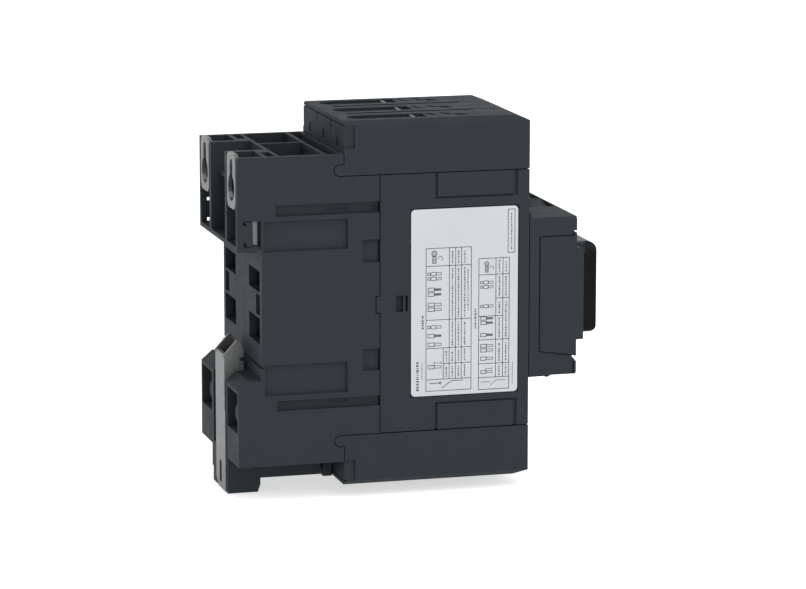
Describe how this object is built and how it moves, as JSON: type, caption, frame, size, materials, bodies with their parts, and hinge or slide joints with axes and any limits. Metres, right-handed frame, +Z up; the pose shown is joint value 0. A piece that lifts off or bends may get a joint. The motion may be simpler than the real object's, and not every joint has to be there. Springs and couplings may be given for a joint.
{
  "type": "din rail contactor",
  "caption": "Rail-mounted power contactor with screw-cage terminals above and below, a front control module and a smoked front cover.",
  "frame": {"origin": "on the flat face that rests against the rail, at the rail's centre line", "axes": "+X across the width, -Y towards the front of the device, +Y out of the back towards the rail, +Z up"},
  "size_m": [0.055, 0.1272, 0.1245],
  "materials": {
    "moulded_plastic": "fine-grained anthracite housing plastic",
    "label_film": "printed light grey label film",
    "zinc_steel": "bright zinc-plated sheet and screws",
    "contact_copper": "copper contact alloy",
    "terminal_brass": "tinned brass",
    "core_steel": "laminated magnet steel",
    "winding": "enamelled copper wire",
    "bobbin_plastic": "black coil former",
    "carrier_plastic": "dark brown thermoset",
    "pad_rubber": "soft black rubber",
    "smoked_cover": "smoked transparent plastic, gloss"
  },
  "bodies": {
    "root": {"rear_base": "moulded_plastic", "front_housing": "moulded_plastic", "side_label": "label_film", "power_head_top": "moulded_plastic", "power_head_bottom": "moulded_plastic", "mounting_lug_left": "zinc_steel", "mounting_lug_right": "zinc_steel", "magnet_core": "core_steel", "shading_ring_top": "contact_copper", "shading_ring_bottom": "contact_copper", "magnet_pad": "pad_rubber", "coil_bobbin": "bobbin_plastic", "coil_winding": "winding", "return_spring_left": "zinc_steel", "return_spring_right": "zinc_steel", "din_clip_spring": "zinc_steel", "front_module": "moulded_plastic", "line_contact_1": "contact_copper", "line_contact_2": "contact_copper", "line_contact_3": "contact_copper", "load_contact_1": "contact_copper", "load_contact_2": "contact_copper", "load_contact_3": "contact_copper", "control_terminal_top_1": "terminal_brass", "control_terminal_top_2": "terminal_brass", "control_terminal_bottom_1": "terminal_brass", "control_terminal_bottom_2": "terminal_brass", "control_terminal_bottom_3": "terminal_brass"},
    "carrier": {"contact_carrier": "carrier_plastic", "armature": "core_steel", "aux_bridge": "terminal_brass", "contact_spring_1": "zinc_steel", "contact_spring_2": "zinc_steel", "contact_spring_3": "zinc_steel"},
    "bridges": {"contact_bridge_1": "contact_copper", "contact_bridge_2": "contact_copper", "contact_bridge_3": "contact_copper"},
    "clip": {"din_clip": "zinc_steel"},
    "cover": {"front_cover": "smoked_cover"},
    "line_screw_1": {"line_screw_1": "zinc_steel"},
    "line_cage_1": {"line_cage_1": "zinc_steel"},
    "line_screw_2": {"line_screw_2": "zinc_steel"},
    "line_cage_2": {"line_cage_2": "zinc_steel"},
    "line_screw_3": {"line_screw_3": "zinc_steel"},
    "line_cage_3": {"line_cage_3": "zinc_steel"},
    "load_screw_1": {"load_screw_1": "zinc_steel"},
    "load_cage_1": {"load_cage_1": "zinc_steel"},
    "load_screw_2": {"load_screw_2": "zinc_steel"},
    "load_cage_2": {"load_cage_2": "zinc_steel"},
    "load_screw_3": {"load_screw_3": "zinc_steel"},
    "load_cage_3": {"load_cage_3": "zinc_steel"},
    "control_screw_top_1": {"control_screw_top_1": "zinc_steel"},
    "control_screw_top_2": {"control_screw_top_2": "zinc_steel"},
    "control_screw_bottom_1": {"control_screw_bottom_1": "zinc_steel"},
    "control_screw_bottom_2": {"control_screw_bottom_2": "zinc_steel"},
    "control_screw_bottom_3": {"control_screw_bottom_3": "zinc_steel"}
  },
  "joints": [
    {"name": "carrier_slide", "type": "slide", "parent": "root", "child": "carrier", "axis": [0, 1, 0], "range_m": [0, 0.006], "stiffness_N_per_m": 800, "springref_m": -0.012, "deforming": ["return_spring_left", "return_spring_right", "contact_spring_1", "contact_spring_2", "contact_spring_3"]},
    {"name": "bridge_slide", "type": "slide", "parent": "root", "child": "bridges", "axis": [0, 1, 0], "range_m": [0, 0.0045]},
    {"name": "clip_slide", "type": "slide", "parent": "root", "child": "clip", "axis": [0, 0, -1], "range_m": [0, 0.005], "stiffness_N_per_m": 1000, "springref_m": -0.004, "deforming": ["din_clip_spring"]},
    {"name": "cover_hinge", "type": "hinge", "parent": "root", "child": "cover", "pos_m": [0, -0.1119, 0.0102], "axis": [-1, 0, 0], "range_deg": [0, 95]},
    {"name": "line_screw_1_turn", "type": "hinge", "parent": "root", "child": "line_screw_1", "pos_m": [-0.018, -0.07, 0.0474], "axis": [0, 1, 0], "range_deg": [0, 2880]},
    {"name": "line_cage_1_slide", "type": "slide", "parent": "root", "child": "line_cage_1", "axis": [0, -1, 0], "range_m": [0, 0.012]},
    {"name": "line_screw_2_turn", "type": "hinge", "parent": "root", "child": "line_screw_2", "pos_m": [0, -0.07, 0.0474], "axis": [0, 1, 0], "range_deg": [0, 2880]},
    {"name": "line_cage_2_slide", "type": "slide", "parent": "root", "child": "line_cage_2", "axis": [0, -1, 0], "range_m": [0, 0.012]},
    {"name": "line_screw_3_turn", "type": "hinge", "parent": "root", "child": "line_screw_3", "pos_m": [0.018, -0.07, 0.0474], "axis": [0, 1, 0], "range_deg": [0, 2880]},
    {"name": "line_cage_3_slide", "type": "slide", "parent": "root", "child": "line_cage_3", "axis": [0, -1, 0], "range_m": [0, 0.012]},
    {"name": "load_screw_1_turn", "type": "hinge", "parent": "root", "child": "load_screw_1", "pos_m": [-0.018, -0.07, -0.0549], "axis": [0, 1, 0], "range_deg": [0, 2880]},
    {"name": "load_cage_1_slide", "type": "slide", "parent": "root", "child": "load_cage_1", "axis": [0, -1, 0], "range_m": [0, 0.012]},
    {"name": "load_screw_2_turn", "type": "hinge", "parent": "root", "child": "load_screw_2", "pos_m": [0, -0.07, -0.0549], "axis": [0, 1, 0], "range_deg": [0, 2880]},
    {"name": "load_cage_2_slide", "type": "slide", "parent": "root", "child": "load_cage_2", "axis": [0, -1, 0], "range_m": [0, 0.012]},
    {"name": "load_screw_3_turn", "type": "hinge", "parent": "root", "child": "load_screw_3", "pos_m": [0.018, -0.07, -0.0549], "axis": [0, 1, 0], "range_deg": [0, 2880]},
    {"name": "load_cage_3_slide", "type": "slide", "parent": "root", "child": "load_cage_3", "axis": [0, -1, 0], "range_m": [0, 0.012]},
    {"name": "control_screw_top_1_turn", "type": "hinge", "parent": "root", "child": "control_screw_top_1", "pos_m": [0.003, -0.102, 0.0154], "axis": [0, 1, 0], "range_deg": [0, 1080]},
    {"name": "control_screw_top_2_turn", "type": "hinge", "parent": "root", "child": "control_screw_top_2", "pos_m": [0.019, -0.102, 0.0154], "axis": [0, 1, 0], "range_deg": [0, 1080]},
    {"name": "control_screw_bottom_1_turn", "type": "hinge", "parent": "root", "child": "control_screw_bottom_1", "pos_m": [-0.013, -0.102, -0.0246], "axis": [0, 1, 0], "range_deg": [0, 1080]},
    {"name": "control_screw_bottom_2_turn", "type": "hinge", "parent": "root", "child": "control_screw_bottom_2", "pos_m": [0, -0.102, -0.0246], "axis": [0, 1, 0], "range_deg": [0, 1080]},
    {"name": "control_screw_bottom_3_turn", "type": "hinge", "parent": "root", "child": "control_screw_bottom_3", "pos_m": [0.013, -0.102, -0.0246], "axis": [0, 1, 0], "range_deg": [0, 1080]}
  ],
  "couplings": [
    {"joint": "bridge_slide", "follows": "carrier_slide", "ratio": 0.75},
    {"joint": "line_screw_1_turn", "follows": "line_cage_1_slide", "rad_per_m": 4188.8},
    {"joint": "line_screw_2_turn", "follows": "line_cage_2_slide", "rad_per_m": 4188.8},
    {"joint": "line_screw_3_turn", "follows": "line_cage_3_slide", "rad_per_m": 4188.8},
    {"joint": "load_screw_1_turn", "follows": "load_cage_1_slide", "rad_per_m": 4188.8},
    {"joint": "load_screw_2_turn", "follows": "load_cage_2_slide", "rad_per_m": 4188.8},
    {"joint": "load_screw_3_turn", "follows": "load_cage_3_slide", "rad_per_m": 4188.8}
  ]
}
